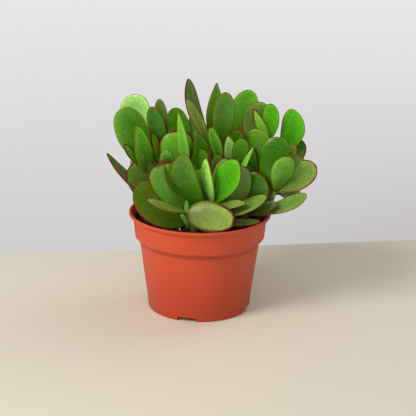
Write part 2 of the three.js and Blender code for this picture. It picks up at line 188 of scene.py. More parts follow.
# Each shoot: the nodes of its stem from the soil up, then its leaves as
# (node, tip, width, way the upper face looks, bow, tone and margin, outline, sweep). The bow
# bends the blade towards its upper face and the sweep bends it sideways, as shares of its length.
SHOOTS = {
    "left": (
        ((-34, 8, 98), (-46, 8, 115), (-53, 8, 134), (-56, 8, 151), (-61, 8, 161)),
        [
            (3, (-83, -22, 226), 35, (-1, 4, 0), -0.01, "mid brown"),
            (3, (-67, -36, 211), 23, (2, -4, 2), 0.02, "bright brown", "drop"),
            (4, (-74, 26, 230), 34, (-1, -4, 3), -0.05, "milky brown", "paddle"),
            (3, (-81, -26, 188), 12, (4, -3, 2), 0.05, "bright red", "oval"),
            (1, (-100, -14, 175), 23, (4, -1, 3), 0.06, "grey red", "drop"),
            (1, (-73, -4, 162), 38, (3, -4, 0), 0.02, "dull red"),
            (2, (-70, 33, 160), 28, UP_AND_IN, 0.04, "mid brown"),
            (1, (-78, 32, 138), 32, UP_AND_IN, 0.04, "deep brown"),
        ],
    ),
    "left_inner": (
        ((-22, 16, 98), (-35, 14, 124), (-38, 12, 144), (-37, 10, 161)),
        [
            (3, (-54, 8, 221), 18, (1, -4, 0), 0.03, "deep brown"),
            (3, (-46, 27, 225), 19, (3, -4, 1), 0.03, "grey brown"),
            (2, (-52, 2, 194), 11, (2, -4, 1), 0.04, "mid red"),
            (2, (-45, 41, 181), 28, UP_AND_IN, 0.03, "deep brown"),
            (1, (-22, 54, 158), 28, UP_AND_IN, 0.03, "mid brown"),
            (2, (-38, -28, 184), 18, (1, -4, 1), -0.06, "glow brown", "oval"),
        ],
    ),
    "middle_left": (
        ((-12, 2, 98), (-18, 4, 123), (-17, 2, 139), (-17, 0, 152), (-18, 0, 162)),
        [
            (3, (-29, 7, 196), 40, (0, 4, -1), 0.05, "gloss broad", "spoon", 0.04),
            (3, (-24, -32, 226), 20, (-4, -3, -2), 0.04, "bright brown", "dart"),
            (4, (-29, 30, 215), 26, (1, -4, 2), 0.03, "deep brown"),
            (3, (-32, 38, 178), 24, UP_AND_IN, 0.03, "mid brown"),
        ],
    ),
    "centre": (
        ((2, 2, 98), (4, 0, 129), (8, 2, 151), (10, 4, 169), (10, 6, 179)),
        [
            (4, (-15, 22, 249), 23, (4, -3, 2), 0.085, "grey red", "beak"),
            (3, (-15, -4, 233), 20, (-4, -4, -2), 0.05, "grey brown", "beak"),
            (2, (-10, 36, 207), 18, (1, -4, 3), 0.02, "gloss brown"),
            (2, (-5, -22, 201), 22, (2, -4, 0), 0.04, "mid brown", "dart"),
            (1, (-2, -12, 181), 23, (0, -4, 1), 0.03, "gloss brown"),
        ],
    ),
    "centre_right": (
        ((16, 10, 98), (17, 8, 122), (20, 6, 146), (21, 6, 159), (21, 8, 172)),
        [
            (4, (16, 24, 245), 27, (3, -4, 1), 0.04, "mid brown", "flame", -0.03),
            (3, (25, -4, 241), 24, (1, -4, -1), 0.02, "soft brown", "paddle"),
            (3, (54, 36, 234), 33, (1, -4, 1), 0.03, "gloss brown"),
            (3, (12, -22, 208), 15, (4, 3, 2), -0.03, "gloss brown", "lance"),
            (1, (18, -16, 176), 16, (0, -4, 1), -0.05, "soft brown"),
            (3, (9, -12, 204), 10, (1, -4, 1), 0.03, "lime brown"),
        ],
    ),
    "middle_right": (
        ((36, 2, 98), (50, 4, 127), (60, 4, 149), (67, 6, 173), (71, 6, 186)),
        [
            (3, (60, 22, 225), 35, (1, -4, 1), 0.06, "dull brown", "spoon", -0.03),
            (4, (55, 4, 222), 12, (1, -4, 0), 0.03, "bright red", "drop"),
            (4, (74, 14, 225), 20, (1, -4, 1), 0.03, "vivid brown", "oval", 0.03),
            (2, (61, -2, 201), 32, (1, 4, 0), 0.05, "mid brown"),
            (2, (53, -8, 185), 9, (1, 4, 2), 0.05, "deep brown"),
        ],
    ),
    "right": (
        ((50, 14, 98), (76, 14, 124), (87, 14, 151), (90, 14, 172)),
        [
            (3, (98, 24, 217), 26, (0, -4, 1), 0.03, "vivid brown", "oval", 0.1),
            (2, (110, 30, 181), 26, (-1, -4, 1), 0.03, "soft red", "oval"),
            (2, (99, 2, 184), 16, (1, -4, 1), 0.03, "dull brown"),
            (2, (112, 48, 150), 30, UP_AND_IN, 0.03, "mid brown"),
            (1, (110, 38, 128), 32, UP_AND_IN, 0.03, "deep brown"),
        ],
    ),
    "right_low": (
        ((61, -7, 98), (65, -11, 109), (73, -18, 121), (80, -26, 140)),
        [
            (3, (80, -18, 197), 37, (1, 4, -1), 0.04, "deep brown", "oval"),
            (3, (121, -38, 172), 29, (-1, -4, 2), 0.04, "dull red"),
            (3, (105, -30, 180), 27, (1, -4, 1), 0.03, "deep red"),
            (3, (90, -44, 183), 25, (-1, 4, 1), 0.03, "gloss brown"),
            (3, (107, -14, 137), 24, (-1, -3, 2), 0.05, "deep red"),
        ],
    ),
    "front": (
        ((13, -22, 98), (13, -24, 104), (11, -28, 111), (13, -32, 126), (15, -32, 135)),
        [
            (3, (6, -42, 179), 21, (4, 3, 1), 0.03, "glow brown", "lance", 0.05),
            (3, (38, -52, 180), 29, (-2, -4, 1), 0.04, "vivid brown", "beak"),
            (4, (28, -28, 176), 24, (2, -4, 0), 0.03, "milky red"),
            (2, (47, -32, 168), 38, (-1, 4, 0), 0.03, "dull red", "oval", -0.05),
            (3, (48, -52, 134), 13, (0, -2, 3), 0.05, "dull brown", "lance"),
            (2, (70, -48, 139), 22, (0, -2, 4), 0.05, "dull brown"),
            (2, (-2, -24, 162), 28, (2, -4, 1), 0.03, "bright brown"),
            (1, (65, -34, 108), 12, (-1, -3, 4), 0.06, "back red"),
            (4, (8, -36, 193), 12, (4, 0, 0), 0.02, "olive broad", "dart"),
            (2, (-19, -51, 185), 29, (-1, -4, 1), -0.01, "soft brown", "spoon", -0.12),
            (2, (-26, -44, 178), 27, (-1, -4, 1), 0, "deep brown", "spoon", -0.14),
        ],
    ),
    "front_left": (
        ((-5, -42, 98), (-6, -43, 102), (-9, -44, 114), (-13, -46, 121), (-14, -46, 134)),
        [
            (3, (37, -62, 116), 33, (1, 4, -2), 0.04, "back broad", "disc"),
            (3, (-53, -74, 142), 20, (0, -1, 4), 0.03, "back brown"),
            (4, (-37, -58, 176), 10, (4, -2, 1), 0.14, "deep brown", "lance"),
        ],
    ),
    "left_low": (
        ((-12, -28, 98), (-13, -29, 103), (-20, -26, 113)),
        [
            (2, (-43, -28, 169), 43, (1, 4, 0), -0.03, "mid broad"),
            (1, (-69, -15, 140), 45, (2, -4, 2), 0.02, "olive red", "oval", -0.05),
        ],
    ),
    "front_right": (
        ((46, -12, 98), (48, -16, 106), (51, -24, 112)),
        [
            (2, (112, -47, 141), 20, (0, -2, 3), 0.06, "dull brown", "paddle"),
            (1, (62, -26, 159), 36, (2, 4, 0), 0.03, "deep red"),
            (2, (82, -38, 129), 13, (-1, -3, 3), -0.05, "olive brown"),
        ],
    ),
    "heart": (
        ((28, 16, 98), (35, 10, 122), (35, 4, 144), (35, 0, 157)),
        [
            (3, (29, -22, 198), 16, (-1, -4, 1), 0.03, "milky brown", "drop"),
            (3, (38, -4, 202), 18, (1, -4, 0), 0.03, "deep red"),
            (2, (43, -24, 196), 18, (1, -4, 1), 0.03, "gloss brown", "paddle", 0.03),
            (1, (56, -30, 189), 12, (4, 1, 0), 0.03, "lime brown", "lance"),
            (3, (42, -6, 209), 10, (4, -1, 0), -0.1, "lime red", "dart"),
        ],
    ),
    "back_left": (
        ((-30, 30, 98), (-38, 42, 122), (-42, 48, 142), (-44, 52, 156), (-46, 53, 168)),
        [
            (1, (-88, 56, 134), 34, UP_AND_IN, 0.04, "mid brown"),
            (1, (-30, 92, 132), 32, UP_AND_IN, 0.04, "deep brown"),
            (2, (-84, 80, 164), 34, UP_AND_IN, 0.04, "mid red"),
            (2, (-30, 102, 168), 32, UP_AND_IN, 0.04, "mid brown"),
            (3, (-66, 70, 196), 30, UP_AND_IN, 0.03, "mid brown"),
            (3, (-22, 72, 190), 28, UP_AND_IN, 0.03, "vivid brown"),
            (4, (-60, 54, 200), 20, (4, 1, 1), 0.04, "lime brown", "lance"),
            (4, (-40, 62, 192), 18, (-4, -1, 1), 0.04, "vivid brown"),
        ],
    ),
    "back": (
        ((14, 40, 98), (18, 52, 124), (20, 58, 146), (21, 61, 160), (22, 62, 172)),
        [
            (1, (-14, 88, 140), 32, UP_AND_IN, 0.04, "mid brown"),
            (1, (52, 92, 138), 32, UP_AND_IN, 0.04, "mid brown"),
            (2, (-2, 104, 176), 32, UP_AND_IN, 0.04, "mid red"),
            (2, (48, 100, 172), 32, UP_AND_IN, 0.04, "mid brown"),
            (3, (0, 76, 184), 28, UP_AND_IN, 0.03, "vivid brown"),
            (3, (42, 70, 192), 28, UP_AND_IN, 0.03, "mid brown"),
            (4, (19, 46, 196), 20, (0, 4, 1), 0.04, "vivid brown", "lance"),
            (4, (25, 72, 207), 18, (0, -4, 1), 0.04, "vivid brown"),
        ],
    ),
    "back_right": (
        ((50, 34, 98), (62, 44, 122), (68, 50, 142), (70, 53, 154), (71, 54, 165)),
        [
            (1, (102, 70, 128), 32, UP_AND_IN, 0.04, "mid brown"),
            (1, (60, 94, 130), 30, UP_AND_IN, 0.04, "deep brown"),
            (2, (74, 98, 160), 32, UP_AND_IN, 0.04, "mid brown"),
            (2, (108, 68, 163), 30, UP_AND_IN, 0.04, "mid red"),
            (3, (62, 72, 186), 26, UP_AND_IN, 0.03, "vivid brown"),
            (3, (94, 62, 166), 26, UP_AND_IN, 0.03, "mid brown"),
            (4, (64, 46, 198), 19, (1, 4, 1), 0.04, "lime brown", "lance"),
            (4, (74, 64, 192), 17, (-1, -4, 1), 0.04, "vivid brown"),
        ],
    ),
}


# ---- materials ----


def linear(colour):
    """An sRGB colour out of 255 as linear numbers."""
    return tuple(
        c / 255 / 12.92 if c < 10.3 else ((c / 255 + 0.055) / 1.055) ** 2.4 for c in colour
    )


class Shader:
    """The node tree of a material or world, with short calls for the nodes used here."""

    def __init__(self, owner):
        owner.use_nodes = True
        self.owner = owner
        self.tree = owner.node_tree

    def node(self, kind, **settings):
        made = self.tree.nodes.new("ShaderNode" + kind)
        for key, value in settings.items():
            setattr(made, key, value)
        return made

    def put(self, socket, value):
        if isinstance(value, bpy.types.NodeSocket):
            self.tree.links.new(value, socket)
        elif isinstance(value, tuple) and len(value) == 3 and socket.type == "RGBA":
            socket.default_value = (*value, 1)
        else:
            socket.default_value = value

    def math(self, operation, a, b):
        made = self.node("Math", operation=operation)
        self.put(made.inputs[0], a)
        self.put(made.inputs[1], b)
        return made.outputs[0]

    def ramp(self, value, low, high, start=0.0, end=1.0, kind="SMOOTHSTEP"):
        """Goes from start to end while value goes from low to high."""
        made = self.node("MapRange", interpolation_type=kind)
        for name, number in (
            ("Value", value),
            ("From Min", low),
            ("From Max", high),
            ("To Min", start),
            ("To Max", end),
        ):
            self.put(made.inputs[name], number)
        return made.outputs[0]

    def mix(self, factor, a, b, blend="MIX"):
        made = self.node("Mix", data_type="RGBA", blend_type=blend)
        self.put(made.inputs["Factor"], factor)
        self.put(made.inputs[6], a)
        self.put(made.inputs[7], b)
        return made.outputs[2]

    def attribute(self, name):
        return self.node("Attribute", attribute_name=name)

    def noise(self, place, scale, detail, roughness, stretch=(1, 1, 1)):
        mapped = self.node("Mapping")
        self.put(mapped.inputs["Vector"], place)
        mapped.inputs["Scale"].default_value = stretch
        made = self.node("TexNoise")
        self.put(made.inputs["Vector"], mapped.outputs[0])
        made.inputs["Scale"].default_value = scale
        made.inputs["Detail"].default_value = detail
        made.inputs["Roughness"].default_value = roughness
        return made.outputs["Fac"]

    def bump(self, height, distance, strength=1.0, under=None):
        """A normal that is bumped by height, on top of the normal under."""
        made = self.node("Bump")
        made.inputs["Distance"].default_value = distance
        made.inputs["Strength"].default_value = strength
        self.put(made.inputs["Height"], height)
        if under is not None:
            self.put(made.inputs["Normal"], under)
        return made.outputs[0]

    def position(self, space="Object"):
        return self.node("TexCoord").outputs[space]

    def part(self, vector, axis):
        apart = self.node("SeparateXYZ")
        self.put(apart.inputs[0], vector)
        return apart.outputs[axis]

    def background(self, colour, strength):
        made = self.node("Background")
        self.put(made.inputs["Color"], colour)
        self.put(made.inputs["Strength"], strength)
        return made.outputs[0]

    def by_ray(self, ray, others, these):
        """A shader that is these for one kind of ray, and others for the rest."""
        made = self.node("MixShader")
        self.put(made.inputs[0], self.node("LightPath").outputs[ray])
        self.put(made.inputs[1], others)
        self.put(made.inputs[2], these)
        return made.outputs[0]

    def finish(self, colour, roughness, normal=None, **even):
        """Sets the surface. The names in even are sockets, which get one value all over."""
        surface = self.tree.nodes["Principled BSDF"]
        self.put(surface.inputs["Base Color"], colour)
        self.put(surface.inputs["Roughness"], roughness)
        if normal is not None:
            self.put(surface.inputs["Normal"], normal)
        for name, value in even.items():
            surface.inputs[name.replace("_", " ")].default_value = value
        return self.owner


def leaf_material():
    """A waxy fleshy leaf: lengthwise veins, mottling, a pale inner band and a coloured margin."""
    s = Shader(bpy.data.materials.new("leaf"))
    tone = s.attribute("tone").outputs["Color"]
    margin = s.attribute("margin")  # its alpha is the margin's width
    strength = s.attribute("strength").outputs["Fac"]
    place = s.attribute("place").outputs["Vector"]
    edge = s.attribute("edge").outputs["Fac"]  # millimetres to the margin
    veins = s.noise(place, 9.0, 3.0, 0.55, (1.0, 0.16, 1.0))
    mottle = s.noise(place, 2.6, 3.0, 0.6, (1.0, 1.6, 1.0))
    pores = s.noise(s.position(), 900.0, 2.0, 0.6)
    light, dark, band = (
        s.mix(1.0, tone, tint, "MULTIPLY") for tint in (LIGHT_TINT, DARK_TINT, BAND_TINT)
    )
    mottled = s.mix(s.ramp(mottle, 0.35, 0.7), light, dark)
    colour = s.mix(MOTTLING, tone, mottled)
    colour = s.mix(s.ramp(veins, 0.4, 0.7, 0.0, 0.3), colour, light)
    # painted shade towards the middle of the blade
    colour = s.mix(s.ramp(edge, *MIDDLE_PAINTED_SHADE_REACH, 0.0, 0.5), colour, dark)
    colour = s.mix(s.ramp(edge, *BAND_REACH, 0.0, 0.55), colour, band)
    colour = s.mix(s.ramp(pores, 0.62, 0.72, 0.0, 0.3), colour, light)
    uneven = s.math("MULTIPLY", s.math("SUBTRACT", mottle, 0.5), MARGIN_UNEVEN)
    reach = s.math("DIVIDE", s.math("ADD", edge, uneven), margin.outputs["Alpha"])
    rim = s.math("MULTIPLY", s.ramp(reach, 1.5, 0.7), strength)
    colour = s.mix(rim, colour, margin.outputs["Color"])
    normal = s.bump(veins, 0.00018, 0.35)
    normal = s.bump(pores, 0.00005, 0.35, normal)
    return s.finish(
        colour,
        s.ramp(mottle, 0.3, 0.7, 0.2, 0.3),
        normal,
        Subsurface_Weight=0.12,
        Subsurface_Radius=(0.4, 1.0, 0.15),
        Subsurface_Scale=0.0025,
        Specular_IOR_Level=0.5,
    )


def stem_material():
    """Fleshy green stem, browner at the soil and at the leaf scars."""
    s = Shader(bpy.data.materials.new("stem"))
    place = s.attribute("place").outputs["Vector"]
    scar = s.attribute("scar").outputs["Fac"]
    youth = s.attribute("youth").outputs["Fac"]
    streaks = s.noise(place, 7.0, 3.0, 0.6, (1.0, 0.25, 1.0))
    colour = s.mix(s.ramp(youth, 0.0, 1.0), linear(STEM_OLD), linear(STEM_YOUNG))
    colour = s.mix(s.ramp(streaks, 0.4, 0.7, 0.0, 0.4), colour, linear(STEM_STREAK))
    colour = s.mix(s.math("MULTIPLY", scar, 0.55), colour, linear(STEM_SCAR))
    return s.finish(
        colour,
        0.5,
        s.bump(streaks, 0.0004, 0.7),
        Subsurface_Weight=0.1,
        Subsurface_Radius=(0.5, 1.0, 0.2),
        Subsurface_Scale=0.002,
    )


def pot_material():
    """Moulded terracotta-coloured plastic, semi-matt, with fine grain, faint scuffs and painted
    shade.
    """
    s = Shader(bpy.data.materials.new("pot"))
    place = s.position()
    height = s.part(place, "Z")
    cloud = s.noise(place, 26.0, 3.0, 0.55)
    grain = s.noise(place, 2600.0, 2.0, 0.6)
    scuff = s.noise(place, 70.0, 5.0, 0.7, (1.0, 1.0, 3.0))
    colour = s.mix(cloud, linear(POT_DARKER), linear(POT_LIGHTER))
    colour = s.mix(s.ramp(scuff, 0.62, 0.8, 0.0, 0.2), colour, linear(POT_SCUFF))
    # painted shade towards the foot
    lowness = s.ramp(height, 0.0, FOOT_SHADE_TOP * MM, FOOT_SHADE, 0.0)
    colour = s.mix(lowness, colour, linear(POT_SHADED_FOOT))
    # painted shade under the collar, deepening upwards to a little below the collar's foot
    top = DUSK_TOP * MM
    below = s.ramp(height, top - 0.1 * MM, top + 0.2 * MM, 1.0, 0.0)
    painted_shade = s.math("MULTIPLY", below, s.ramp(height, top - DUSK_DEPTH * MM, top, 0.0, DUSK))
    colour = s.mix(painted_shade, colour, linear(POT_PAINTED_SHADE))
    normal = s.bump(grain, 0.00004, 0.5)
    normal = s.bump(cloud, 0.0006, 0.25, normal)
    return s.finish(
        colour, s.ramp(cloud, 0.3, 0.7, 0.42, 0.52), normal, Specular_IOR_Level=0.45
    )


def soil_material():
    """Dark moist crumbs in lighter and darker patches."""
    s = Shader(bpy.data.materials.new("soil"))
    place = s.position()
    lumps = s.noise(place, 320.0, 5.0, 0.7)
    patches = s.noise(place, 60.0, 3.0, 0.6)
    colour = s.mix(s.ramp(lumps, 0.35, 0.7), linear(SOIL_DARK), linear(SOIL_LIGHT))
    colour = s.mix(s.ramp(patches, 0.45, 0.7, 0.0, 0.6), colour, linear(SOIL_PATCH))
    return s.finish(colour, 0.92, s.bump(lumps, 0.002), Specular_IOR_Level=0.2)


def perlite_material():
    """Pale grains with small pits."""
    s = Shader(bpy.data.materials.new("perlite"))
    pits = s.noise(s.position(), 1400.0, 3.0, 0.7)
    colour = s.mix(s.ramp(pits, 0.4, 0.65), linear(GRAIN_PIT), linear(GRAIN_FACE))
    return s.finish(colour, 0.85, s.bump(pits, 0.0004))


def table_material():
    """A pale cream table top with a faint cloud."""
    s = Shader(bpy.data.materials.new("table"))
    cloud = s.noise(s.position(), 3.0, 3.0, 0.5)
    colour = s.mix(cloud, linear(TABLE_DARKER), linear(TABLE_LIGHTER))
    return s.finish(colour, 0.55, Specular_IOR_Level=0.3)


# ---- meshes ----

ATTRIBUTE_KINDS = {
    "place": "FLOAT_VECTOR",
    "edge": "FLOAT",
    "tone": "FLOAT_COLOR",
    "margin": "FLOAT_COLOR",
    "strength": "FLOAT",
    "youth": "FLOAT",
    "scar": "FLOAT",
}
ATTRIBUTE_FIELDS = {"FLOAT": "value", "FLOAT_VECTOR": "vector", "FLOAT_COLOR": "color"}


def piece(name, data, faces, material):
    """A mesh object that rides on the root. data has its points, in millimetres, and for each
    point the values of the attributes that the material reads."""
    mesh = bpy.data.meshes.new(name)
    mesh.from_pydata((np.asarray(data["points"]) * MM).tolist(), [], faces)
    for key, kind in ATTRIBUTE_KINDS.items():
        if key in data:
            made = mesh.attributes.new(key, kind, "POINT")
            values = np.asarray(data[key], np.float32).ravel()
            made.data.foreach_set(ATTRIBUTE_FIELDS[kind], values)
    mesh.materials.append(material)
    mesh.polygons.foreach_set("use_smooth", [True] * len(mesh.polygons))
    mesh.validate()
    mesh.update()
    made = bpy.data.objects.new(name, mesh)
    bpy.context.scene.collection.objects.link(made)
    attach(made, "root")
    return made


def outward(obj):
    """Turns every face of each closed part of the mesh outwards."""
    edit = bmesh.new()
    edit.from_mesh(obj.data)
    bmesh.ops.recalc_face_normals(edit, faces=edit.faces)
    edit.to_mesh(obj.data)
    edit.free()


def skin(rings, sides, start):
    """Faces of a tube of that many rings, whose points begin at start, closed by two end points."""
    faces = []
    for i in range(rings - 1):
        for k in range(sides):
            a, b = start + i * sides + k, start + i * sides + (k + 1) % sides
            faces.append((a, b, b + sides, a + sides))
    first, last = start + rings * sides, start + rings * sides + 1
    ring = start + (rings - 1) * sides
    for k in range(sides):
        following = (k + 1) % sides
        faces.append((first, start + following, start + k))
        faces.append((last, ring + k, ring + following))
    return faces


def unit(v):
    return v / np.linalg.norm(v)


def past(value, start):
    """How far value is from start to 1, as a share, and 0 before start."""
    return max(0.0, (value - start) / (1 - start))


# ---- leaves and stems ----


def blade(t, outline):
    """Half the blade's width at a share t of its length, against the widest."""
    widest, power, root = SHAPES[outline]
    if t <= widest:
        # A blade that is widest far from its root is slender near the root.
        slenderness = max(0.3, 5 * widest - 1.75)
        return NECK + (1 - NECK) * math.sin(math.pi / 2 * t / widest) ** slenderness
    return max(0.0, 1 - past(t, widest) ** power) ** root


def leaf(root, tip, width, looks, bow, look, draw, outline="spoon", sweep=0):
    """One leaf's points, and for each point its place, distance to the margin and colours."""
    length = np.linalg.norm(tip - root)
    chord = unit(tip - root)
    if looks is UP_AND_IN:
        looks = (-chord[0], -chord[1], math.hypot(chord[0], chord[1]))
    up = np.array(looks, float)
    up = unit(up - chord * up.dot(chord))
    across = np.cross(chord, up)
    middle = (root + tip) / 2 + 2 * length * (sweep * across - bow * up)
    thickest = BLADE_THICKNESS + THICKENING * width
    tone, margin = look.split()
    upper, under = (np.array(linear(c)) for c in TONES[tone])
    rim, strength, rim_width = MARGINS[margin]
    shade = draw.uniform(*LEAF_SHADES)
    warm = draw.uniform(*LEAF_WARMTHS)
    phases = [draw.uniform(0, 2 * math.pi) for _ in range(6)]
    seed = draw.uniform(*PATTERN_SHIFTS)
    turn = math.radians(draw.uniform(-TWIST, TWIST))
    points, place, edge, tones, strengths = [], [], [], [], []
    for i in range(BLADE_STATIONS):
        t = LAST_STATION * (1 - (1 - i / (BLADE_STATIONS - 1)) ** STATION_CROWDING)
        centre = (1 - t) ** 2 * root + 2 * t * (1 - t) * middle + t * t * tip
        along = unit(2 * (1 - t) * (middle - root) + 2 * t * (tip - middle))
        normal = unit(up - along * up.dot(along))
        side = math.cos(turn * t) * across + math.sin(turn * t) * normal
        normal = np.cross(side, along)
        half = width / 2 * blade(t, outline)
        thickness = thickest * (1 - TIP_THINNING * past(t, TIP_STARTS) ** 2)
        thickness *= 1 - ROOT_THINNING * (1 - min(1.0, t / ROOT_ENDS))
        # partly painted shade towards the root, partly the blade's own darker green there
        from_root = min(1.0, t / ROOT_SHADE_ENDS)
        deeper = shade * (1 - ROOT_SHADE * (1 - from_root) ** ROOT_SHADE_POWER)
        for k in range(BLADE_SIDES):
            angle = 2 * math.pi * k / BLADE_SIDES
            c, s = math.cos(angle), math.sin(angle)
            share = UPPER_SHARE if s > 0 else UPPER_SHARE - 1
            rise = share * thickness * abs(s) ** BLUNTNESS
            lobe = LOBE * math.sin(LOBE_RATE * t + phases[0 if c > 0 else 1])
            reach = half * (1 + lobe * abs(c))
            swell = math.sin(SWELL_RATE * t + phases[2]) * math.sin(SWELL_ACROSS * c + phases[3])
            wave = half * math.sin(WAVE_RATE * t + phases[4]) * c * abs(c)
            uneven = (SWELL * swell + WAVE * wave) * min(1.0, WAVES_START * t)
            groove = math.exp(-((c / GROOVE_WIDTH) ** 2)) * (1 - t) if s > 0 else 0.0
            height = CUP * half * c * c + rise + uneven - GROOVE * groove
            points.append(centre + side * reach * c + normal * height)
            place.append((c * half / PATTERN_UNIT + seed, t * length / PATTERN_UNIT, s))
            edge.append(math.hypot(min(half * (1 - abs(c)), (1 - t) * length), rise))
            strengths.append(strength * min(1.0, MARGIN_AT_ROOT + t))
            facing = (1 + max(-1.0, min(1.0, FACE_BLEND * s))) / 2
            tones.append(deeper * (under + (upper - under) * facing) * (warm, 1, 1))
    for end, t, to_margin in ((root, 0, EDGE_AT_ROOT), (tip, 1, 0)):
        points.append(end)
        place.append((seed, t * length / PATTERN_UNIT, 0))
        edge.append(to_margin)
        strengths.append(strength * min(1.0, MARGIN_AT_ROOT + t))
        tones.append(shade * upper)
    return {
        "points": points,
        "place": place,
        "edge": edge,
        "tone": [(*c, 1) for c in tones],
        "margin": [(*linear(rim), rim_width)] * len(points),
        "strength": strengths,
    }


def curve_through(nodes, steps):
    """Points along a Catmull-Rom curve, with that many steps between two nodes."""
    ends = [2 * nodes[0] - nodes[1], *nodes, 2 * nodes[-1] - nodes[-2]]
    points = []
    for a, b, c, d in zip(ends, ends[1:], ends[2:], ends[3:]):
        for t in (j / steps for j in range(steps)):
            bend = (2 * a - 5 * b + 4 * c - d) * t**2 + (3 * b - a - 3 * c + d) * t**3
            points.append((2 * b + (c - a) * t + bend) / 2)
    return [*points, nodes[-1]]


def stem(nodes, draw):
    """A stem's points, with their place, youth and leaf scars, and its number of rings."""
    path = [nodes[0] - (0, 0, STEM_SUNK), *curve_through(nodes, STEM_STEPS)]
    last = len(path) - 1
    seed = draw.uniform(*PATTERN_SHIFTS)
    points, place, youth, scars = [], [], [], []
    run = 0.0
    for i, point in enumerate(path):
        along = unit(path[min(i + 1, last)] - path[max(i - 1, 0)])
        if i < 2:  # the rings at the soil lie level
            along = np.array((0, 0, 1.0))
        side = unit(np.cross(along, OFF_EVERY_STEM))
        other = np.cross(side, along)
        share = max(0, i - 1) / (last - 1)
        to_node = min(np.linalg.norm(point - node) for node in nodes[1:])
        scar = math.exp(-((to_node / SCAR_REACH) ** 2))
        radius = STEM_RADIUS + (TWIG_RADIUS - STEM_RADIUS) * share + SCAR_SWELL * scar
        radius *= math.sqrt(1 - BUD_TAPER * past(share, BUD_STARTS) ** 2)
        run += np.linalg.norm(point - path[i - 1]) if i else 0.0
        for k in range(STEM_SIDES):
            angle = 2 * math.pi * k / STEM_SIDES
            c, s = math.cos(angle), math.sin(angle)
            bulge = STEM_UNEVEN * math.sin(3 * angle + seed + run / STEM_UNEVEN_RUN)
            points.append(point + (side * c + other * s) * radius * (1 + bulge))
            place.append((c + seed, run / PATTERN_UNIT, s))
            youth.append(share)
            scars.append(scar)
    for end in (path[0], path[-1]):
        points.append(end)
        place.append((seed, 0, 0))
        youth.append(1.0)
        scars.append(0.0)
    return {"points": points, "place": place, "youth": youth, "scar": scars}, last + 1


def build_shoot(name, nodes, leaves, materials, draw):
    """The finer leaves and stem that stand for one CAD shoot."""
    places = [np.array(node, float) for node in nodes]
    data = {key: [] for key in ("points", "place", "edge", "tone", "margin", "strength")}
    faces = []
    for node, tip, width, looks, bow, look, *outline in leaves:
        tip = np.array(tip, float)
        made = leaf(places[node], tip, width, looks, bow, look, draw, *outline)
        faces += skin(BLADE_STATIONS, BLADE_SIDES, len(data["points"]))
        for key, values in made.items():
            data[key] += values
    foliage = piece("leaves_" + name, data, faces, materials["leaf"])
    data, rings = stem(places, draw)
    faces = skin(rings, STEM_SIDES, 0)
    trunk = piece("stem_" + name, data, faces, materials["stem"])
    for made in (foliage, trunk):
        outward(made)
        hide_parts("shoot_" + name)


# ---- pot and soil ----


def rounded(profile):
    """The profile [(radius, height, rounding)] with each corner replaced by a small arc."""
    points = []
    for before, (r, z, size), after in zip(
        [profile[0], *profile], profile, [*profile[1:], profile[-1]]
    ):
        corner = np.array((r, z), float)
        to_before = np.array(before[:2]) - corner
        to_after = np.array(after[:2]) - corner
        if size == 0 or not to_before.any() or not to_after.any():
            points.append(corner)
            continue
        start = corner + unit(to_before) * min(size, np.linalg.norm(to_before) / ARC_LIMIT)
        end = corner + unit(to_after) * min(size, np.linalg.norm(to_after) / ARC_LIMIT)
        for t in (j / ARC_STEPS for j in range(ARC_STEPS + 1)):
            points.append((1 - t) ** 2 * start + 2 * t * (1 - t) * corner + t * t * end)
    return points


def lathe(name, profile, sides, material):
    """A closed solid turned about the Z axis, whose profile starts and ends on the axis."""
    points = []
    for r, z in profile[1:-1]:
        for k in range(sides):
            angle = 2 * math.pi * k / sides
            points.append((r * math.cos(angle), r * math.sin(angle), z))
    points += [(0, 0, profile[0][1]), (0, 0, profile[-1][1])]
    faces = skin(len(profile) - 2, sides, 0)
    made = piece(name, {"points": points}, faces, material)
    outward(made)
    return made


def cut(obj, cutter):
    """Cuts the cutter out of obj and removes it."""
    change = obj.modifiers.new("cut", "BOOLEAN")
    change.operation = "DIFFERENCE"
    change.solver = "EXACT"
    change.object = cutter
    bpy.context.view_layer.update()
    ready = obj.evaluated_get(bpy.context.evaluated_depsgraph_get())
    mesh = bpy.data.meshes.new_from_object(ready)
    obj.modifiers.clear()
    obj.data = mesh
    bpy.data.objects.remove(cutter)


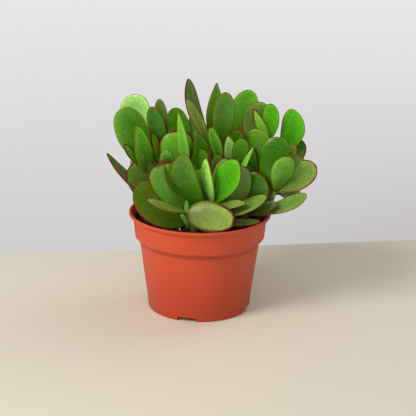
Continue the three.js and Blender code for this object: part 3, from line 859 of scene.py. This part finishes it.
def build_pot(material):
    """The pot with its channels through the foot and a drain hole above each channel."""
    collar_foot = POT_HEIGHT - COLLAR_DEPTH
    lip_foot = POT_HEIGHT - LIP_DEPTH
    slope = (BODY_TOP_RADIUS - FOOT_RADIUS) / (collar_foot - FOOT_ROUNDING)
    band_radius = FOOT_RADIUS + slope * FOOT_BAND
    # Each corner: radius, height, rounding. The outside from the foot up, then the inside down.
    profile = [
        (0, 0, 0),
        (FOOT_RADIUS - FOOT_ROUNDING, 0, 0),
        (FOOT_RADIUS, 0, FOOT_ROUNDING),
        (band_radius, FOOT_BAND, 0.3),
        (band_radius - FOOT_BAND_STEP, FOOT_BAND + 2 * FOOT_BAND_STEP, 0.3),
        (BODY_TOP_RADIUS, collar_foot, 0.5),
        (COLLAR_FOOT_RADIUS, collar_foot, 1.2),
        (COLLAR_TOP_RADIUS, lip_foot - 0.8, 0.9),
        (LIP_RADIUS, lip_foot - 0.2, 1.2),
        (LIP_RADIUS, POT_HEIGHT, 1.1),
        (LIP_RADIUS - WALL - 0.4, POT_HEIGHT, 0.8),
        (COLLAR_TOP_RADIUS - WALL, lip_foot - 2, 1.0),
        (COLLAR_FOOT_RADIUS - WALL, collar_foot + WALL, 1.0),
        (BODY_TOP_RADIUS - WALL, collar_foot, 1.0),
        (FOOT_RADIUS - WALL + 0.6, FLOOR_THICKNESS, 1.0),
        (0, FLOOR_THICKNESS, 0),
    ]
    pot = lathe("nursery_pot", rounded(profile), POT_SIDES, material)
    reach = FOOT_RADIUS + CHANNEL_OVERRUN - CHANNEL_INNER_END
    channel_shape = Matrix.Diagonal((reach, CHANNEL_WIDTH, 2 * CHANNEL_HEIGHT, 1))
    channel_place = Matrix.Translation(Vector((CHANNEL_INNER_END + reach / 2, 0, 0)) * MM)
    drain_depth = 2 * (FLOOR_THICKNESS + DRAIN_OVERRUN)
    for i in range(CHANNEL_COUNT):
        bearing = math.radians(CHANNEL_BEARING + 360 * i / CHANNEL_COUNT)
        turn = Matrix.Rotation(bearing, 4, "Z")
        bpy.ops.mesh.primitive_cube_add(size=MM)
        channel = bpy.context.object
        channel.matrix_world = turn @ channel_place @ channel_shape
        cut(pot, channel)
        bpy.ops.mesh.primitive_cylinder_add(
            vertices=DRAIN_SIDES, radius=DRAIN_RADIUS * MM, depth=drain_depth * MM
        )
        drain = bpy.context.object
        drain.matrix_world = turn @ Matrix.Translation((DRAIN_PLACE * MM, 0, 0))
        cut(pot, drain)
    for polygon in pot.data.polygons:
        polygon.use_smooth = True
    pot.data.set_sharp_from_angle(angle=math.radians(SHARP_ANGLE))
    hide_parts("pot")


def scatter(name, lumps, material, draw, stems):
    """Uneven lumps lying partly sunk in the soil, clear of the stems."""
    count, sizes, rise = lumps
    edit = bmesh.new()
    bmesh.ops.create_icosphere(edit, subdivisions=2, radius=1)
    ball = np.array([v.co for v in edit.verts])
    ball_faces = [tuple(v.index for v in f.verts) for f in edit.faces]
    edit.free()
    points, faces = [], []
    made = 0
    while made < count:
        size = draw.uniform(*sizes) * draw.uniform(*LUMP_SHARES)
        distance = (SOIL_RADIUS - size) * math.sqrt(draw.random())
        bearing = draw.uniform(0, 2 * math.pi)
        x, y = distance * math.cos(bearing), distance * math.sin(bearing)
        apart = STEM_RADIUS + size + LUMP_CLEARANCE
        if any(math.hypot(x - a, y - b) < apart for a, b in stems):
            continue
        stretch = np.array([draw.uniform(*LUMP_STRETCH) for _ in range(3)]) * size
        phase = np.array([draw.uniform(0, FULL_TURN) for _ in range(3)])
        bumps = 1 + LUMP_BUMP * np.sin(ball * LUMP_BUMP_RATE + phase).sum(axis=1)
        turned = np.array(Matrix.Rotation(draw.uniform(0, FULL_TURN), 3, "Z"))
        lump = (ball * bumps[:, None] * stretch) @ turned.T + (x, y, SOIL_LEVEL + rise * size)
        start = len(points)
        points += lump.tolist()
        faces += [tuple(start + i for i in f) for f in ball_faces]
        made += 1
    piece(name, {"points": points}, faces, material)


# ---- the object ----

materials = {
    "leaf": leaf_material(),
    "stem": stem_material(),
    "soil": soil_material(),
}
draw = random.Random(SEED)
build_pot(pot_material())
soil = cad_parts["soil"]
soil.data.materials.clear()
soil.data.materials.append(materials["soil"])
roots = [nodes[0][:2] for nodes, _ in SHOOTS.values()]
scatter("soil_crumbs", CRUMBS, materials["soil"], draw, roots)
scatter("perlite", GRAINS, perlite_material(), draw, roots)
for name, (nodes, leaves) in SHOOTS.items():
    build_shoot(name, nodes, leaves, materials, draw)

# ---- table, light and camera, in metres ----

TABLE_SIZE = (6, 4, 0.03)
TABLE_BACK = 0.183  # how far behind the pot's axis the table ends
TABLE_TURN = math.radians(8.9)
# Lights: place, size, power, colour, whether it shows in reflections, whether it lights matt
# surfaces.
LIGHTS = {
    "key": ((-1.3, -1.1, 1.4), 1.0, 32, (1.0, 0.985, 0.96), False, True),
    "window": ((-1.33, -0.6, 1.5), 0.9, 10, (1, 1, 1), True, False),
    "fill": ((-0.5, -1.7, 0.6), 1.2, 3, (1, 1, 1), False, True),
    "back": ((1.0, 0.75, 1.15), 0.9, 5, (1, 1, 1), True, True),
    "left_rim": ((-0.95, 0.2, 1.35), 0.35, 4, (1, 1, 1), True, False),
    "right_rim": ((0.95, 0.15, 1.35), 0.35, 4, (1, 1, 1), True, False),
}
LIT_POINT = (0, 0, 0.13)  # where the lights are aimed
AMBIENT, AMBIENT_COLOUR = 0.45, (1.0, 0.99, 0.98)
MIRRORED = 0.04  # the studio is darker in reflections than it is bright overall
# The wall goes from its low to its high colour while the upward part of the direction of sight
# goes through the first range. A painted shadow in the corner's colour comes in on the right, over
# the second range of the sideways part, and fades upwards with this power.
WALL_RISE, WALL_SIDE, WALL_FADE = (-0.34, -0.16), (-0.05, 0.15), 2.5
CAMERA_DISTANCE = 1.5
CAMERA_ELEVATION = math.radians(18)
CAMERA_ROLL = math.radians(0.93)
CAMERA_LENS, CAMERA_SENSOR = 119.6, 36  # millimetres
TARGET = Vector((0.00858, 0, 0.111))  # where the camera is aimed


def aim(obj, place, target, roll=0.0):
    """Puts obj at place, looking at target and turned by roll about its line of sight."""
    back = Vector(place) - Vector(target)
    obj.location = place
    obj.rotation_mode = "QUATERNION"
    obj.rotation_quaternion = back.to_track_quat("Z", "Y") @ Quaternion((0, 0, 1), roll)


def build_table():
    """A table whose far edge runs behind the pot."""
    bpy.ops.mesh.primitive_cube_add(size=1)
    table = bpy.context.object
    table.name = "table"
    table.scale = TABLE_SIZE
    table.rotation_euler = (0, 0, TABLE_TURN)
    middle = TABLE_SIZE[1] / 2
    x, y = middle * math.sin(TABLE_TURN), TABLE_BACK - middle * math.cos(TABLE_TURN)
    table.location = (x, y, -TABLE_SIZE[2] / 2)
    table.data.materials.append(table_material())


def build_light(name, place, size, power, colour, mirrored, lit):
    """A round soft light."""
    light = bpy.data.lights.new(name, "AREA")
    light.shape, light.size, light.energy, light.color = "DISK", size, power, colour
    made = bpy.data.objects.new(name, light)
    bpy.context.scene.collection.objects.link(made)
    aim(made, place, LIT_POINT)
    made.visible_glossy = mirrored
    made.visible_diffuse = lit


def build_world():
    """Even soft light, and behind the table a pale wall that darkens a little downwards."""
    world = bpy.data.worlds.new("studio")
    bpy.context.scene.world = world
    s = Shader(world)
    s.tree.nodes.clear()
    sight = s.position("Generated")
    rise = s.ramp(s.part(sight, "Z"), *WALL_RISE, kind="LINEAR")
    right = s.ramp(s.part(sight, "X"), *WALL_SIDE, kind="LINEAR")
    lowness = s.math("POWER", s.math("SUBTRACT", 1, rise), WALL_FADE)
    colour = s.mix(rise, linear(WALL_LOW), linear(WALL_HIGH))
    # the painted shadow in the wall's lower right corner
    colour = s.mix(s.math("MULTIPLY", right, lowness), colour, linear(WALL_PAINTED_SHADOW))
    mirrored = s.background((1, 1, 1), MIRRORED)
    light = s.by_ray("Is Glossy Ray", s.background(AMBIENT_COLOUR, AMBIENT), mirrored)
    seen = s.by_ray("Is Camera Ray", light, s.background(colour, 1.0))
    s.put(s.node("OutputWorld").inputs[0], seen)


def build_camera():
    """The camera, a little above the plant and rolled as the photograph is."""
    camera = bpy.data.objects.new("camera", bpy.data.cameras.new("camera"))
    bpy.context.scene.collection.objects.link(camera)
    camera.data.lens, camera.data.sensor_width = CAMERA_LENS, CAMERA_SENSOR
    camera.data.clip_start, camera.data.clip_end = 0.1, 50
    back = Vector((0, -math.cos(CAMERA_ELEVATION), math.sin(CAMERA_ELEVATION)))
    aim(camera, TARGET + CAMERA_DISTANCE * back, TARGET, CAMERA_ROLL)
    bpy.context.scene.camera = camera


build_table()
for name, values in LIGHTS.items():
    build_light(name, *values)
build_world()
build_camera()
bpy.context.scene.view_settings.view_transform = "Standard"
